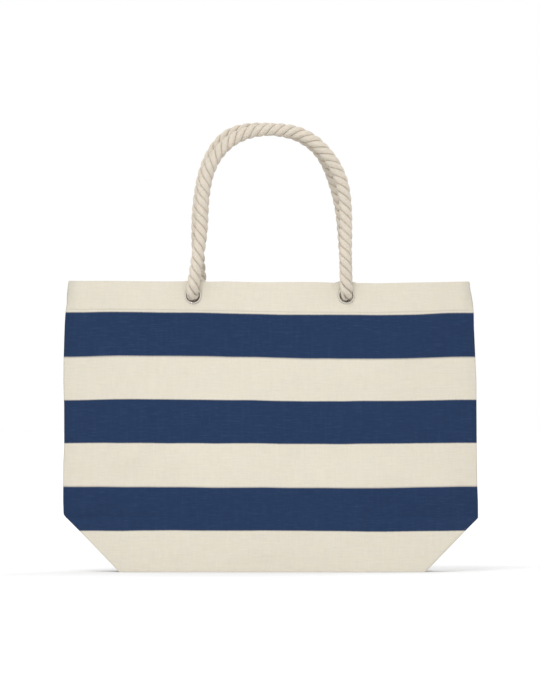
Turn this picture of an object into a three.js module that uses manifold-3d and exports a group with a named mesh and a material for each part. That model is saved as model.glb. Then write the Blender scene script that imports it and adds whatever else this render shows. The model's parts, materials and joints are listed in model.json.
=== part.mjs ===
// Open-topped canvas beach bag with boxed base corners, rolled metal eyelets and
// two stiff twisted-rope handles that swing on their eyelets.
// Units are millimetres, +Z up, front of the bag towards -Y, base resting on z = 0.
import * as THREE from 'three';
import Module from 'manifold-3d';

// ---------------------------------------------------------------- dimensions
const WIDTH = 540;            // across the side seams
const HEIGHT = 376;           // base to rim
const GUSSET = 140;           // depth of the boxed base
const CORNER = GUSSET / 2;    // height and width taken by each boxed corner
const BASE_HALF = WIDTH / 2 - CORNER;
const BELLY = 45;             // half opening of the body between base and rim
const MOUTH = 46;             // half opening at the rim
const CLOTH = 1.0;            // canvas solid
const HEM_CLOTH = 2.0;        // canvas folded double around the rim
const HEM_DEPTH = 38;
const GAP = 0.15;             // half of the running gap between the two panels
const BULGE = 2.2;            // plan curve exponent of each panel

const EYELET_Z = 357;
const EYELETS = {
  front_left: { x: -102.2, s: -1 }, front_right: { x: 95.6, s: -1 },
  back_left: { x: -94.0, s: 1 }, back_right: { x: 96.7, s: 1 },
};
const HOLE_R = 8.5;           // clear bore of the eyelet
const BARREL_R = 9.3;
const FLANGE_R = 10.8;
const FLANGE_T = 1.3;
const CLEAR = 0.3;

const ROPE_R = 8.4;
const ROPE_SIDES = 12;
const NECK_R = 7.7;
const KNOT_R = 19.0;
const KNOT_LEN = 32.0;

// centre lines of the two rope arches, from left eyelet to right eyelet
const FRONT_ROUTE = [
  [-102.2, -51.6, 357.0], [-102.0, -51.6, 365.8], [-100.9, -51.6, 377.4], [-98.7, -50.8, 391.5],
  [-96.4, -47.7, 408.3], [-93.2, -43.3, 427.6], [-91.2, -38.8, 447.0], [-90.4, -34.4, 465.2],
  [-89.2, -30.2, 483.3], [-86.6, -25.8, 501.5], [-81.8, -21.6, 519.1], [-73.4, -17.4, 536.0],
  [-61.2, -13.9, 550.8], [-45.3, -11.2, 562.0], [-26.0, -9.4, 569.2], [-4.5, -9.3, 571.9],
  [16.8, -9.3, 571.2], [35.5, -10.1, 566.9], [53.0, -12.3, 557.2], [68.3, -15.8, 542.8],
  [80.8, -20.0, 525.5], [89.0, -24.6, 506.5], [93.2, -29.2, 487.5], [94.9, -34.2, 466.0],
  [95.2, -39.7, 443.0], [94.8, -45.3, 419.0], [94.8, -50.0, 397.0], [95.3, -51.6, 379.0],
  [95.5, -51.6, 366.5], [95.6, -51.6, 357.0]];
const REAR_ROUTE = [
  [-94.0, 51.6, 357.0], [-93.7, 51.6, 367.2], [-93.7, 51.6, 378.9], [-94.8, 50.7, 393.3],
  [-96.0, 47.3, 410.2], [-96.8, 42.9, 429.6], [-96.8, 38.3, 449.1], [-95.8, 33.9, 467.2],
  [-94.0, 29.7, 485.3], [-91.0, 25.3, 503.4], [-86.4, 21.2, 520.8], [-79.6, 17.1, 537.4],
  [-69.8, 13.4, 552.8], [-56.8, 10.7, 564.4], [-38.5, 9.3, 571.3], [-17.0, 9.3, 573.2],
  [4.0, 9.3, 571.8], [24.0, 9.8, 568.0], [41.5, 11.6, 560.5], [57.0, 14.4, 548.6],
  [68.8, 18.3, 532.5], [76.8, 22.6, 515.0], [82.8, 26.8, 497.0], [87.3, 31.3, 478.5],
  [90.6, 35.9, 459.0], [92.8, 40.9, 438.0], [94.6, 46.1, 415.5], [95.6, 50.7, 393.5],
  [96.3, 51.6, 374.0], [96.7, 51.6, 357.0]];

// ---------------------------------------------------------------- helpers
const lerp = (a, b, t) => a + (b - a) * t;
const table = (rows, v) => {
  if (v <= rows[0][0]) return rows[0][1];
  for (let i = 1; i < rows.length; i++) {
    if (v <= rows[i][0]) {
      return lerp(rows[i - 1][1], rows[i][1], (v - rows[i - 1][0]) / (rows[i][0] - rows[i - 1][0]));
    }
  }
  return rows[rows.length - 1][1];
};

const material = (color, roughness, metalness) =>
  new THREE.MeshStandardMaterial({ color, roughness, metalness });

function mesh(name, geometry, mat) {
  geometry.computeVertexNormals();
  const m = new THREE.Mesh(geometry, mat);
  m.name = name;
  return m;
}

function geometryFrom(verts, tris) {
  // weld equal points and drop collapsed triangles
  const key = new Map();
  const out = [];
  const remap = verts.map((p) => {
    const k = p.map((c) => Math.round(c * 2000)).join(',');
    if (!key.has(k)) { key.set(k, out.length); out.push(p); }
    return key.get(k);
  });
  const idx = [];
  for (const t of tris) {
    const [a, b, c] = t.map((i) => remap[i]);
    if (a !== b && b !== c && a !== c) idx.push(a, b, c);
  }
  const g = new THREE.BufferGeometry();
  g.setAttribute('position', new THREE.Float32BufferAttribute(out.flat(), 3));
  g.setIndex(idx);
  return g;
}

// ---------------------------------------------------------------- bag surface
// half width of the body at height z: boxed corners, straight sides, a slightly drawn-in rim
const HALF_WIDTH = [
  [0, BASE_HALF], [CORNER, 270], [200, 270], [280, 268.7], [300, 268], [320, 266.8],
  [343, 266], [358, 264.5], [HEIGHT, 262]];
// half depth of the body at the middle
const HALF_DEPTH = [
  [0, GUSSET / 2], [20, 63.5], [45, 56.5], [70, 52], [110, 48], [160, BELLY], [250, BELLY],
  [320, 45.4], [HEIGHT, MOUTH]];
const EDGE = CLOTH + GAP;     // outer face of a panel where it meets the other panel

const cornerDepth = (z) => (z < CORNER ? (GUSSET / 2 - EDGE) * (1 - z / CORNER) : 0) + EDGE;
function depthAt(x, z) {
  const e = cornerDepth(z);
  const u = Math.min(1, Math.abs(x) / table(HALF_WIDTH, z));
  return e + (table(HALF_DEPTH, z) - e) * (1 - Math.pow(u, BULGE));
}

const COLS = 30;
const LEVELS = [HEIGHT, 366, 352, HEIGHT - HEM_DEPTH, HEIGHT - HEM_DEPTH - 2, 300, 250, 200, 155, 115, 90, 70,
  56, 42, 28, 14, 0];
const DEPTH_STEPS = 4;

function panelGeometry() {
  // front panel: face from rim to base, its half of the base, and the two corner facets
  const verts = []; const quads = []; const thick = [];
  const put = (x, y, z) => { verts.push([x, y, z]); thick.push(z > HEIGHT - HEM_DEPTH - 1 ? HEM_CLOTH : CLOTH); return verts.length - 1; };
  const face = LEVELS.map((z) => {
    const row = [];
    for (let i = 0; i <= COLS; i++) {
      const u = -1 + (2 * i) / COLS;
      // columns gather towards the side seams
      const uu = Math.sign(u) * Math.pow(Math.abs(u), 0.85);
      const x = uu * table(HALF_WIDTH, z);
      row.push(put(x, -depthAt(x, z), z));
    }
    return row;
  });
  for (let r = 0; r + 1 < face.length; r++) {
    for (let i = 0; i < COLS; i++) quads.push([face[r][i], face[r + 1][i], face[r + 1][i + 1], face[r][i + 1]]);
  }
  // half of the base
  const last = face[face.length - 1];
  const base = [last];
  for (let k = 1; k <= DEPTH_STEPS; k++) {
    base.push(last.map((id) => {
      const [x, y] = verts[id];
      return put(x, lerp(y, -GAP, k / DEPTH_STEPS), 0);
    }));
  }
  for (let k = 0; k < DEPTH_STEPS; k++) {
    for (let i = 0; i < COLS; i++) quads.push([base[k][i], base[k + 1][i], base[k + 1][i + 1], base[k][i + 1]]);
  }
  // corner facets
  const rows = LEVELS.map((z, r) => [z, r]).filter(([z]) => z <= CORNER);
  for (const side of [-1, 1]) {
    const grid = rows.map(([z, r]) => {
      const start = side < 0 ? face[r][0] : face[r][COLS];
      const line = [start];
      for (let k = 1; k <= DEPTH_STEPS; k++) {
        const y0 = verts[start][1];
        const y1 = -lerp(GAP, EDGE, z / CORNER);
        line.push(put(verts[start][0], lerp(y0, y1, k / DEPTH_STEPS), z));
      }
      return line;
    });
    for (let r = 0; r + 1 < grid.length; r++) {
      for (let k = 0; k < DEPTH_STEPS; k++) {
        const q = [grid[r][k], grid[r + 1][k], grid[r + 1][k + 1], grid[r][k + 1]];
        quads.push(side > 0 ? q : q.reverse());
      }
    }
  }
  // weld the sheet first, so that the folded edges share their points
  const key = new Map(); const pts = []; const th = [];
  const remap = verts.map((p, i) => {
    const k = p.map((c) => Math.round(c * 1000)).join(',');
    if (!key.has(k)) { key.set(k, pts.length); pts.push(p); th.push(thick[i]); }
    return key.get(k);
  });
  const tris = [];
  const add = (a, b, c) => { if (a !== b && b !== c && a !== c) tris.push([a, b, c]); };
  for (const q of quads) {
    const [a, b, c, d] = q.map((i) => remap[i]);
    add(a, b, c); add(a, c, d);
  }
  // inner layer: mitred offset along the average of the neighbouring face normals
  const normals = pts.map(() => []);
  const va = new THREE.Vector3(); const vb = new THREE.Vector3(); const vc = new THREE.Vector3();
  for (const [a, b, c] of tris) {
    va.fromArray(pts[a]); vb.fromArray(pts[b]); vc.fromArray(pts[c]);
    const n = vb.clone().sub(va).cross(vc.clone().sub(va)).normalize();
    for (const i of [a, b, c]) if (!normals[i].some((m) => m.dot(n) > 0.999)) normals[i].push(n);
  }
  const inner = pts.map((p, i) => {
    const n = new THREE.Vector3();
    normals[i].forEach((m) => n.add(m));
    n.normalize();
    const cos = Math.max(0.55, Math.min(...normals[i].map((m) => m.dot(n))));
    const q = [p[0] - (n.x * th[i]) / cos, p[1] - (n.y * th[i]) / cos, p[2] - (n.z * th[i]) / cos];
    q[1] = Math.min(q[1], -GAP);
    if (Math.abs(p[2] - HEIGHT) < 0.01) q[2] = HEIGHT;
    if (p[2] < 0.01) q[2] = CLOTH;
    return q;
  });
  const n = pts.length;
  const all = pts.concat(inner);
  const out = tris.slice();
  const edges = new Map();
  for (const [a, b, c] of tris) {
    out.push([a + n, c + n, b + n]);
    for (const [i, j] of [[a, b], [b, c], [c, a]]) edges.set(i + '_' + j, [i, j]);
  }
  for (const [i, j] of edges.values()) {
    if (!edges.has(j + '_' + i)) { out.push([j, i, i + n]); out.push([j, i + n, j + n]); }
  }
  return geometryFrom(all, out);
}

// ---------------------------------------------------------------- solids library
const wasm = await Module();
wasm.setup();

function toManifold(geometry) {
  const g = geometry.index ? geometry.toNonIndexed() : geometry.clone();
  const p = g.getAttribute('position').array;
  const key = new Map(); const verts = []; const tri = [];
  for (let i = 0; i < p.length; i += 3) {
    const k = [0, 1, 2].map((c) => Math.round(p[i + c] * 10000)).join(',');
    if (!key.has(k)) { key.set(k, verts.length / 3); verts.push(p[i], p[i + 1], p[i + 2]); }
    tri.push(key.get(k));
  }
  const keep = [];
  for (let i = 0; i < tri.length; i += 3) {
    if (tri[i] !== tri[i + 1] && tri[i + 1] !== tri[i + 2] && tri[i] !== tri[i + 2]) keep.push(tri[i], tri[i + 1], tri[i + 2]);
  }
  return new wasm.Manifold(new wasm.Mesh({
    numProp: 3, vertProperties: new Float32Array(verts), triVerts: new Uint32Array(keep),
  }));
}
function fromManifold(m) {
  const r = m.getMesh();
  const g = new THREE.BufferGeometry();
  g.setAttribute('position', new THREE.BufferAttribute(new Float32Array(r.vertProperties), 3));
  g.setIndex(new THREE.BufferAttribute(new Uint32Array(r.triVerts), 1));
  return g;
}

// closed profile turned about the local Y axis; [radius, axial] pairs
function turned(profile, segments) {
  let area = 0;
  profile.forEach(([r, a], i) => {
    const [r2, a2] = profile[(i + 1) % profile.length];
    area += r * a2 - r2 * a;
  });
  const ring = area < 0 ? profile.slice().reverse() : profile;
  const pts = ring.map(([r, a]) => new THREE.Vector2(Math.max(r, 0), a));
  const open = ring[0][0] < 1e-6;
  const g = new THREE.LatheGeometry(open ? pts : pts.concat([pts[0]]), segments);
  g.deleteAttribute('normal'); g.deleteAttribute('uv');
  return g;
}
// place a geometry turned about +Y so that +Y lies along dir, at point
function placed(geometry, dir, point) {
  const q = new THREE.Quaternion().setFromUnitVectors(new THREE.Vector3(0, 1, 0), dir);
  geometry.applyQuaternion(q);
  geometry.translate(point.x, point.y, point.z);
  return geometry;
}

// outward normal and point of the outer face of the panel on side s at (x, z)
function faceFrame(x, z, s) {
  const d = 0.5;
  const y = (a, b) => s * depthAt(a, b);
  const tx = new THREE.Vector3(2 * d, y(x + d, z) - y(x - d, z), 0);
  const tz = new THREE.Vector3(0, y(x, z + d) - y(x, z - d), 2 * d);
  const n = tx.cross(tz).normalize();
  if (n.y * s < 0) n.negate();
  return { point: new THREE.Vector3(x, y(x, z), z), normal: n };
}

// ---------------------------------------------------------------- canvas panels
const cream = 0xe6e0d0; const navy = 0x2e3f5e;
const group = new THREE.Group();
group.name = 'beach_bag';

const base = panelGeometry();
for (const [name, s] of [['front_panel', -1], ['back_panel', 1]]) {
  const g = base.clone();
  if (s > 0) {
    g.scale(1, -1, 1);
    const idx = g.index.array;
    for (let i = 0; i < idx.length; i += 3) { const t = idx[i]; idx[i] = idx[i + 1]; idx[i + 1] = t; }
  }
  let solid = toManifold(g);
  for (const e of Object.values(EYELETS).filter((v) => v.s === s)) {
    const f = faceFrame(e.x, EYELET_Z, s);
    const drill = turned([[0, -8], [BARREL_R + CLEAR, -8], [BARREL_R + CLEAR, 8], [0, 8]], 24);
    solid = solid.subtract(toManifold(placed(drill, f.normal, f.point)));
  }
  group.add(mesh(name, fromManifold(solid), material(s < 0 ? 0xe6e0d0 : 0xe4decd, 0.92, 0)));
}

// ---------------------------------------------------------------- eyelets, washers, knots
for (const [key, e] of Object.entries(EYELETS)) {
  const f = faceFrame(e.x, EYELET_Z, e.s);
  const inside = -(HEM_CLOTH + CLEAR);          // inner face of the hem plus clearance
  const rim = inside - 1.0 - CLEAR;             // underside of the rolled edge
  const flange = turned([
    [HOLE_R, rim - 0.7], [HOLE_R, 0.9], [HOLE_R + 0.5, CLEAR + FLANGE_T], [FLANGE_R - 1.2, CLEAR + FLANGE_T],
    [FLANGE_R, CLEAR + 0.5], [FLANGE_R, CLEAR], [BARREL_R, CLEAR], [BARREL_R, rim],
    [BARREL_R + 1.5, rim], [BARREL_R + 1.5, rim - 0.4], [BARREL_R + 0.8, rim - 0.9]], 24);
  group.add(mesh('eyelet_' + key, placed(flange, f.normal, f.point), material(0xcfcdc8, 0.3, 1)));
  const washer = turned([
    [BARREL_R + CLEAR, inside - 1.0], [BARREL_R + CLEAR, inside], [FLANGE_R + 0.8, inside],
    [FLANGE_R + 0.8, inside - 0.7], [FLANGE_R + 0.4, inside - 1.0]], 24);
  group.add(mesh('washer_' + key, placed(washer, f.normal, f.point), material(0xc4c2bd, 0.35, 1)));

  // stopper knot: neck through the bore, lump inside, short tail hanging down
  const seat = rim - 0.9 - CLEAR;
  const neckEnd = CLEAR + FLANGE_T - 0.7;
  const lump = [[0, neckEnd], [NECK_R - 0.8, neckEnd], [NECK_R, neckEnd - 0.8], [NECK_R, seat]];
  for (let i = 0; i <= 8; i++) {
    const t = i / 8;
    const r = i === 8 ? 0 : KNOT_R * Math.pow(Math.sin(Math.PI * lerp(0.24, 1, t)), 0.55);
    lump.push([r, seat - KNOT_LEN * t]);
  }
  let solid = toManifold(placed(turned(lump, 18), f.normal, f.point));
  const tail = new THREE.CapsuleGeometry(NECK_R + 0.1, 22, 4, 12);
  tail.deleteAttribute('normal'); tail.deleteAttribute('uv');
  const at = f.point.clone().addScaledVector(f.normal, seat - KNOT_LEN * 0.55);
  placed(tail, new THREE.Vector3(Math.sign(e.x) * 0.25, 0, -1).normalize(), new THREE.Vector3(at.x + Math.sign(e.x) * 3, at.y, at.z - 14));
  solid = solid.add(toManifold(tail));
  group.add(mesh('knot_' + key, fromManifold(solid), material(0xe3dac9, 0.95, 0)));
}

// ---------------------------------------------------------------- rope handles
function ropeGeometry(route, steps) {
  const curve = new THREE.CatmullRomCurve3(route.map((p) => new THREE.Vector3(...p)), false, 'centripetal');
  const pts = curve.getSpacedPoints(steps);
  const tan = pts.map((p, i) => {
    const a = pts[Math.max(0, i - 1)]; const b = pts[Math.min(steps, i + 1)];
    return b.clone().sub(a).normalize();
  });
  let u = new THREE.Vector3(0, 1, 0);
  u.addScaledVector(tan[0], -u.dot(tan[0])).normalize();
  const rings = [];
  const ring = (c, t, n, r) => {
    const b = t.clone().cross(n);
    const out = [];
    for (let k = 0; k < ROPE_SIDES; k++) {
      const a = (2 * Math.PI * k) / ROPE_SIDES;
      out.push(c.clone().addScaledVector(n, r * Math.cos(a)).addScaledVector(b, r * Math.sin(a)).toArray());
    }
    return out;
  };
  const cap = [0.88, 0.6, 0.25];
  const frames = pts.map((p, i) => {
    u = u.clone().addScaledVector(tan[i], -u.dot(tan[i])).normalize();
    return [p, tan[i], u];
  });
  const [p0, t0, u0] = frames[0];
  cap.forEach((h) => rings.push(ring(p0.clone().addScaledVector(t0, -ROPE_R * h), t0, u0, ROPE_R * Math.sqrt(1 - h * h))));
  frames.forEach(([p, t, n]) => rings.push(ring(p, t, n, ROPE_R)));
  const [p1, t1, u1] = frames[steps];
  cap.slice().reverse().forEach((h) => rings.push(ring(p1.clone().addScaledVector(t1, ROPE_R * h), t1, u1, ROPE_R * Math.sqrt(1 - h * h))));
  const verts = rings.flat();
  const tris = [];
  for (let r = 0; r + 1 < rings.length; r++) {
    for (let k = 0; k < ROPE_SIDES; k++) {
      const a = r * ROPE_SIDES + k; const b = r * ROPE_SIDES + ((k + 1) % ROPE_SIDES);
      tris.push([a, b, b + ROPE_SIDES], [a, b + ROPE_SIDES, a + ROPE_SIDES]);
    }
  }
  const s = verts.length; verts.push(p0.clone().addScaledVector(t0, -ROPE_R).toArray());
  const e = verts.length; verts.push(p1.clone().addScaledVector(t1, ROPE_R).toArray());
  const top = (rings.length - 1) * ROPE_SIDES;
  for (let k = 0; k < ROPE_SIDES; k++) {
    const j = (k + 1) % ROPE_SIDES;
    tris.push([s, j, k], [e, top + k, top + j]);
  }
  return geometryFrom(verts, tris);
}
group.add(mesh('front_handle_rope', ropeGeometry(FRONT_ROUTE, 54), material(0xe4dbcb, 0.95, 0)));
group.add(mesh('rear_handle_rope', ropeGeometry(REAR_ROUTE, 54), material(0xe2d9c9, 0.95, 0)));

// ---------------------------------------------------------------- inner seam allowances
// upright strips between the panels, just inside each side edge
function sideSeam(side) {
  const zs = [76, 120, 170, 220, 270, 320, 334, 342, 358, 373];
  const half = 1.0; const width = 11;
  const rows = zs.map((z) => {
    const w = table(HALF_WIDTH, z);
    const t = z > 336 ? HEM_CLOTH : CLOTH;
    let d = 1;
    while (depthAt(w - d, z) - t * 1.12 < half + 0.35) d += 0.1;
    if (z === 334 || z === 342) d = Math.max(d, 9.6);
    return [w - d, w - d - width, z];
  });
  const verts = []; const tris = [];
  rows.forEach(([a, b, z]) => verts.push(
    [side * a, -half, z], [side * a, half, z], [side * b, half, z], [side * b, -half, z]));
  for (let r = 0; r + 1 < rows.length; r++) {
    for (let k = 0; k < 4; k++) {
      const a = r * 4 + k; const b = r * 4 + ((k + 1) % 4);
      tris.push([a, b, b + 4], [a, b + 4, a + 4]);
    }
  }
  const n = (rows.length - 1) * 4;
  tris.push([0, 2, 1], [0, 3, 2], [n, n + 1, n + 2], [n, n + 2, n + 3]);
  if (side < 0) tris.forEach((t) => t.reverse());
  return geometryFrom(verts, tris);
}
const thread = () => material(0xddd6c6, 0.95, 0);
group.add(mesh('left_side_seam', sideSeam(-1), thread()));
group.add(mesh('right_side_seam', sideSeam(1), thread()));

const bottom = new THREE.BoxGeometry(2 * (BASE_HALF - 4.6), 11, 1.8);
bottom.translate(0, 0, CLOTH + CLEAR + 0.9);
group.add(mesh('bottom_seam', bottom, thread()));
for (const [name, side] of [['left_corner_seam', -1], ['right_corner_seam', 1]]) {
  const g = new THREE.BoxGeometry(1.8, 114, 10);
  g.translate(side * (BASE_HALF - 3.0), 0, CLOTH + CLEAR + 5);
  group.add(mesh(name, g, thread()));
}

export default group;
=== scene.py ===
import json
import math

import bpy
import numpy as np
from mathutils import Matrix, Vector

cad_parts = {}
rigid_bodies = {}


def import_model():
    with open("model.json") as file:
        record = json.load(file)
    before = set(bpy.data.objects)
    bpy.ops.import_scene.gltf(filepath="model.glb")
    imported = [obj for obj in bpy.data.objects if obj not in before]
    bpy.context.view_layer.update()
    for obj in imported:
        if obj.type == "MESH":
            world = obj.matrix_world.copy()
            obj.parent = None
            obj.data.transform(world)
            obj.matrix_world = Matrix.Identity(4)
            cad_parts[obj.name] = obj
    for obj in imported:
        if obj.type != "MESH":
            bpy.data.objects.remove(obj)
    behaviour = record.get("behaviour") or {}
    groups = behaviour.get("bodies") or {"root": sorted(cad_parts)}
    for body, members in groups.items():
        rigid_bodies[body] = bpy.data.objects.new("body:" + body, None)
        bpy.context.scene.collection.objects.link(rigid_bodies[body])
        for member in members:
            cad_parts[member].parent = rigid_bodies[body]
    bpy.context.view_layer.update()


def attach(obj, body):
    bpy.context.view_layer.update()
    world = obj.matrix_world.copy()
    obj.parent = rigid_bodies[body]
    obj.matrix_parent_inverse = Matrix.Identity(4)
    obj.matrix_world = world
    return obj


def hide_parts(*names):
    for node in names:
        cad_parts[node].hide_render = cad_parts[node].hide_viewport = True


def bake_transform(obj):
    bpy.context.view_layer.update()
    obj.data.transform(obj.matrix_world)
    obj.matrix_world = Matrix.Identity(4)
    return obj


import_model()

MM = 0.001


# ------------------------------------------------------------------ camera
scene = bpy.context.scene
cam_data = bpy.data.cameras.new("camera")
cam_data.sensor_width = 36.0
cam_data.lens = 714.84
cam_data.clip_start = 0.5
cam_data.clip_end = 300.0
cam = bpy.data.objects.new("camera", cam_data)
scene.collection.objects.link(cam)
cam.location = (-0.0029, -18.0, 0.2866)
cam.rotation_euler = (math.radians(90), 0, 0)
scene.camera = cam
scene.view_settings.view_transform = "Standard"
scene.view_settings.look = "None"

# ------------------------------------------------------------------ light and floor
world = bpy.data.worlds.new("studio")
scene.world = world
world.use_nodes = True
world.node_tree.nodes["Background"].inputs[0].default_value = (1, 1, 1, 1)
world.node_tree.nodes["Background"].inputs[1].default_value = 1.0


def sun(name, frm, strength, angle):
    d = bpy.data.lights.new(name, "SUN")
    d.energy = strength
    d.angle = math.radians(angle)
    o = bpy.data.objects.new(name, d)
    scene.collection.objects.link(o)
    o.location = frm
    o.rotation_euler = (-Vector(frm)).to_track_quat("-Z", "Y").to_euler()
    return o


sun("key", (-0.8, -3.3, 2.6), 1.05, 20)
sun("fill_back", (1.4, 2.6, 2.2), 0.45, 30)


# ------------------------------------------------------------------ helpers
def smooth(t):
    t = np.clip(t, 0.0, 1.0)
    return t * t * (3 - 2 * t)


def new_mesh(name, verts, faces, mats, uv=None, face_mat=None, smooth_faces=True, scale=MM):
    me = bpy.data.meshes.new(name)
    v = np.asarray(verts, dtype=float) * scale
    me.from_pydata(v.tolist(), [], [tuple(int(i) for i in f) for f in faces])
    if uv is not None:
        layer = me.uv_layers.new(name="cloth")
        loops = np.empty(len(me.loops), dtype=np.int32)
        me.loops.foreach_get("vertex_index", loops)
        layer.data.foreach_set("uv", np.asarray(uv, dtype=np.float32)[loops].ravel())
    for m in mats if isinstance(mats, (list, tuple)) else [mats]:
        me.materials.append(m)
    if face_mat is not None:
        me.polygons.foreach_set("material_index", np.asarray(face_mat, dtype=np.int32))
    me.polygons.foreach_set("use_smooth", [smooth_faces] * len(me.polygons))
    me.update()
    o = bpy.data.objects.new(name, me)
    scene.collection.objects.link(o)
    return o


def join_parts(parts):
    """parts: list of (verts, faces, uv) -> one set"""
    vs, fs, us, n = [], [], [], 0
    for v, f, u in parts:
        vs.append(np.asarray(v, float))
        us.append(np.asarray(u, float))
        fs.extend([tuple(i + n for i in q) for q in f])
        n += len(v)
    return np.vstack(vs), fs, np.vstack(us)


def apply_modifiers(o):
    dg = bpy.context.evaluated_depsgraph_get()
    ev = o.evaluated_get(dg)
    me = bpy.data.meshes.new_from_object(ev, preserve_all_data_layers=True, depsgraph=dg)
    old = o.data
    o.modifiers.clear()
    o.data = me
    me.name = o.name
    bpy.data.meshes.remove(old)


# ------------------------------------------------------------------ node helper
class Tree:
    def __init__(self, name):
        self.mat = bpy.data.materials.new(name)
        self.mat.use_nodes = True
        self.t = self.mat.node_tree
        self.t.nodes.clear()
        self.out = self.t.nodes.new("ShaderNodeOutputMaterial")
        self.bsdf = self.t.nodes.new("ShaderNodeBsdfPrincipled")
        self.t.links.new(self.bsdf.outputs[0], self.out.inputs[0])

    def put(self, sock, v):
        if isinstance(v, bpy.types.NodeSocket):
            self.t.links.new(v, sock)
        elif isinstance(v, bpy.types.Node):
            self.t.links.new(v.outputs[0], sock)
        else:
            sock.default_value = v

    def math(self, op, a, b=0.0, c=None, clamp=False):
        n = self.t.nodes.new("ShaderNodeMath")
        n.operation = op
        n.use_clamp = clamp
        self.put(n.inputs[0], a)
        self.put(n.inputs[1], b)
        if c is not None:
            self.put(n.inputs[2], c)
        return n.outputs[0]

    def uv(self):
        n = self.t.nodes.new("ShaderNodeUVMap")
        n.uv_map = "cloth"
        s = self.t.nodes.new("ShaderNodeSeparateXYZ")
        self.t.links.new(n.outputs[0], s.inputs[0])
        return s.outputs[0], s.outputs[1]

    def obj(self):
        n = self.t.nodes.new("ShaderNodeTexCoord")
        return n.outputs["Object"]

    def vec(self, x, y, z=0.0):
        n = self.t.nodes.new("ShaderNodeCombineXYZ")
        self.put(n.inputs[0], x)
        self.put(n.inputs[1], y)
        self.put(n.inputs[2], z)
        return n.outputs[0]

    def scaled(self, v, sc):
        n = self.t.nodes.new("ShaderNodeMapping")
        self.put(n.inputs[0], v)
        n.inputs["Scale"].default_value = sc
        return n.outputs[0]

    def noise(self, v, scale=1.0, detail=2.0, rough=0.5, dist=0.0):
        n = self.t.nodes.new("ShaderNodeTexNoise")
        self.put(n.inputs["Vector"], v)
        n.inputs["Scale"].default_value = scale
        n.inputs["Detail"].default_value = detail
        n.inputs["Roughness"].default_value = rough
        n.inputs["Distortion"].default_value = dist
        return n.outputs[0]

    def voronoi(self, v, scale=1.0):
        n = self.t.nodes.new("ShaderNodeTexVoronoi")
        self.put(n.inputs["Vector"], v)
        n.inputs["Scale"].default_value = scale
        return n.outputs[0]

    def ramp(self, f, stops, mode="LINEAR"):
        n = self.t.nodes.new("ShaderNodeValToRGB")
        n.color_ramp.interpolation = mode
        e = n.color_ramp.elements
        while len(e) > 1:
            e.remove(e[-1])
        for i, (p, c) in enumerate(stops):
            el = e[0] if i == 0 else e.new(p)
            el.position = p
            el.color = (c, c, c, 1) if isinstance(c, (int, float)) else (*c, 1)
        self.put(n.inputs[0], f)
        return n.outputs[0]

    def mix(self, f, a, b, mode="MIX"):
        n = self.t.nodes.new("ShaderNodeMix")
        n.data_type = "RGBA"
        n.blend_type = mode
        self.put(n.inputs[0], f)
        for k, v in ((6, a), (7, b)):
            if isinstance(v, tuple):
                n.inputs[k].default_value = (*v, 1) if len(v) == 3 else v
            else:
                self.put(n.inputs[k], v)
        return n.outputs[2]

    def range(self, f, a, b, c, d):
        n = self.t.nodes.new("ShaderNodeMapRange")
        n.clamp = True
        self.put(n.inputs[0], f)
        for k, v in ((1, a), (2, b), (3, c), (4, d)):
            n.inputs[k].default_value = v
        return n.outputs[0]

    def bump(self, h, dist, strength=1.0, normal=None):
        n = self.t.nodes.new("ShaderNodeBump")
        n.inputs["Strength"].default_value = strength
        n.inputs["Distance"].default_value = dist
        self.put(n.inputs["Height"], h)
        if normal is not None:
            self.t.links.new(normal, n.inputs["Normal"])
        return n.outputs[0]

    def set(self, **kw):
        for k, v in kw.items():
            self.put(self.bsdf.inputs[k.replace("_", " ")], v)


# ------------------------------------------------------------------ canvas
CREAM = (0.676, 0.633, 0.537)
NAVY = (0.0150, 0.0340, 0.0872)
STRIPES = ((52.2, 109.2), (164.7, 220.8), (276.7, 333.1))


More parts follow.
